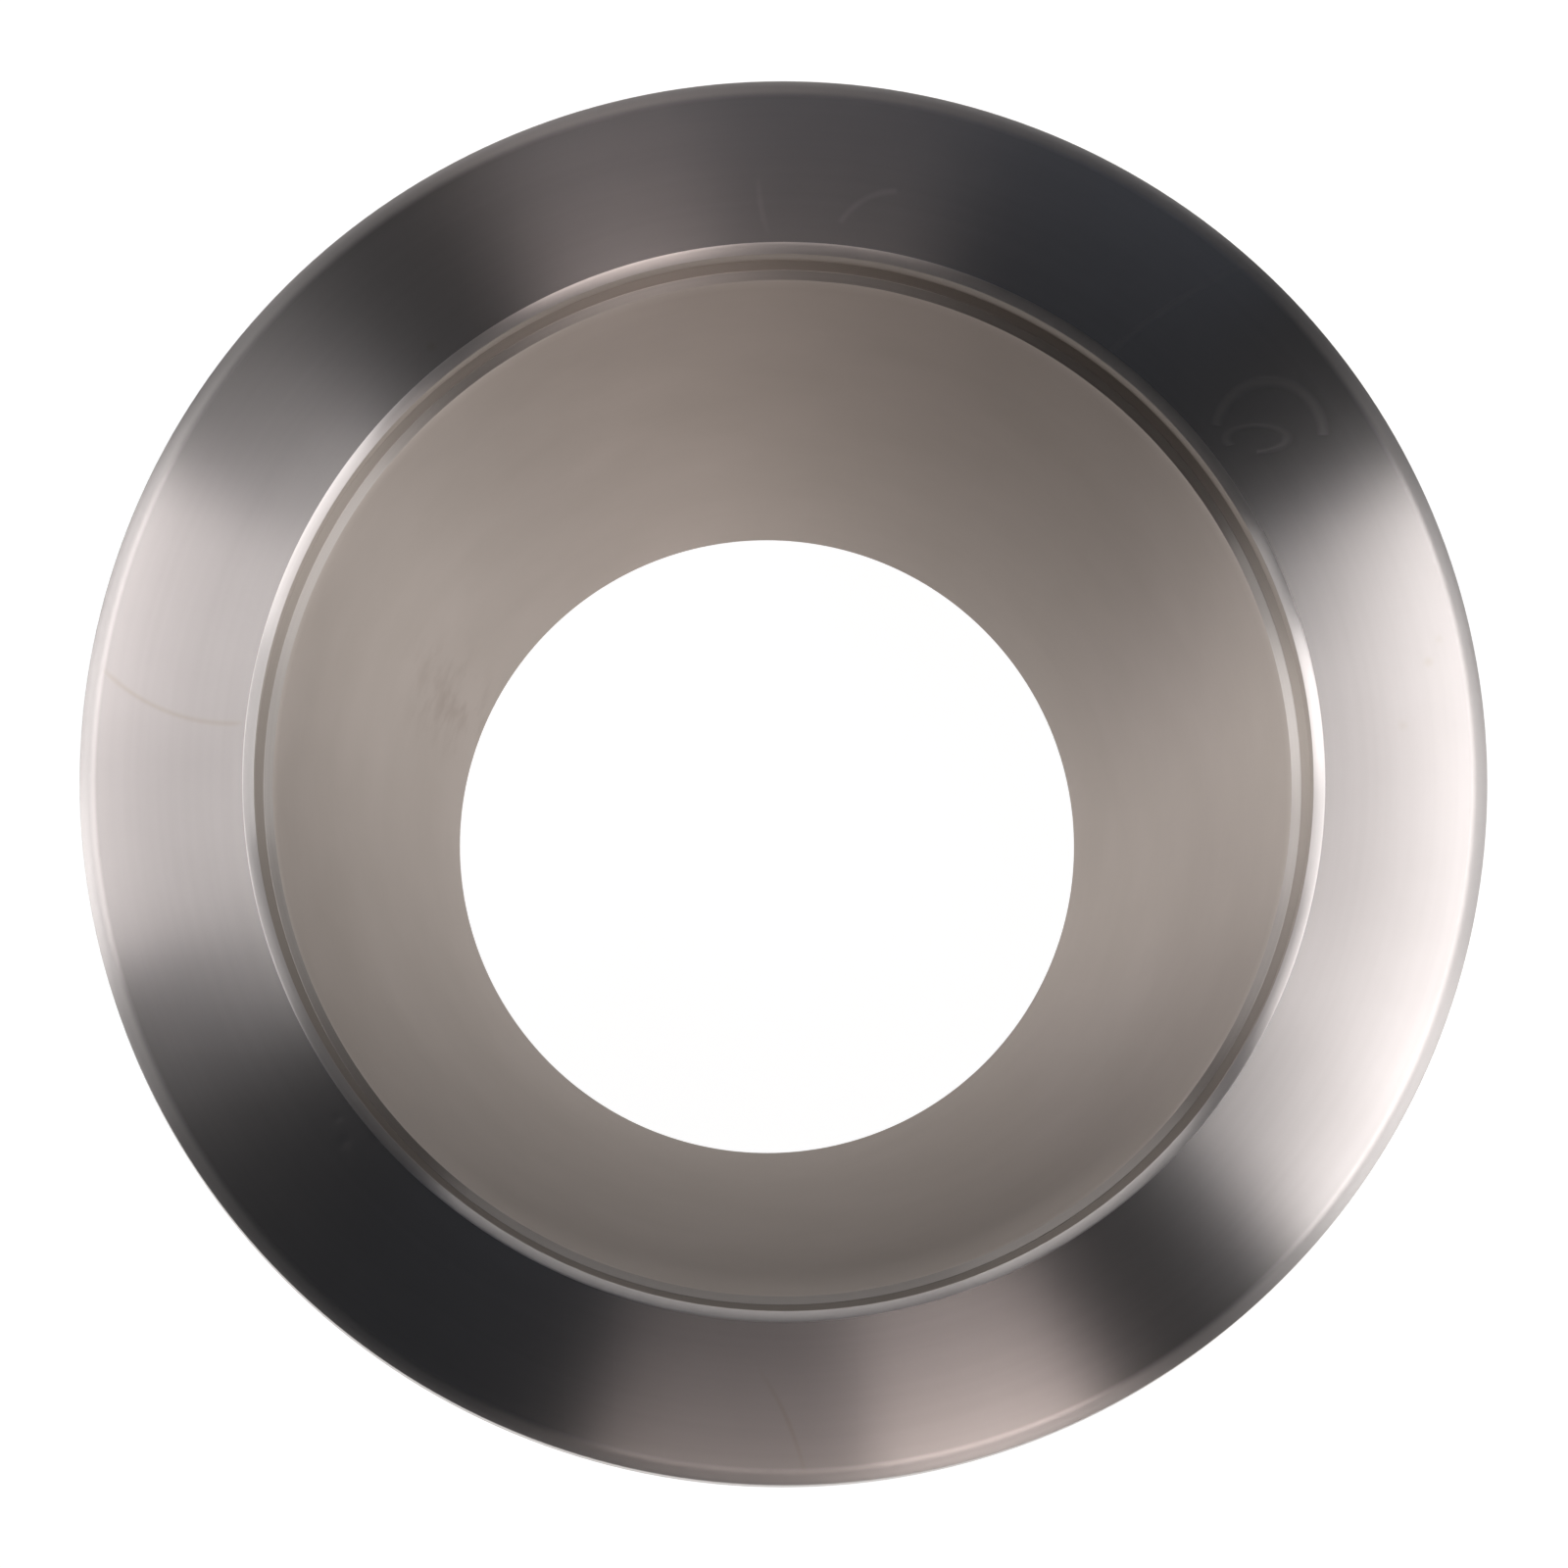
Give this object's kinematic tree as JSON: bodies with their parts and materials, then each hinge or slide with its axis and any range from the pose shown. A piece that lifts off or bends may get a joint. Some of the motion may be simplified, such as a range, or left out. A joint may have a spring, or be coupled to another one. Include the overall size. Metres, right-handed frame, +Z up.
{
  "type": "vacuum reducer",
  "caption": "One-piece conical vacuum reducer: a large and a small clamp flange with centring-ring seats, joined by a tapering thin-walled cone with a clear bore.",
  "frame": {"origin": "centre of the small flange's sealing face", "axes": "+Z up the bore, from the small flange to the large flange; X and Y are equal by symmetry"},
  "size_m": [0.055, 0.055, 0.04],
  "materials": {
    "stainless_steel": "turned stainless steel: bright fine-turned sealing faces, satin bore and body"
  },
  "bodies": {
    "root": {"reducer_body": "stainless_steel"}
  },
  "joints": []
}
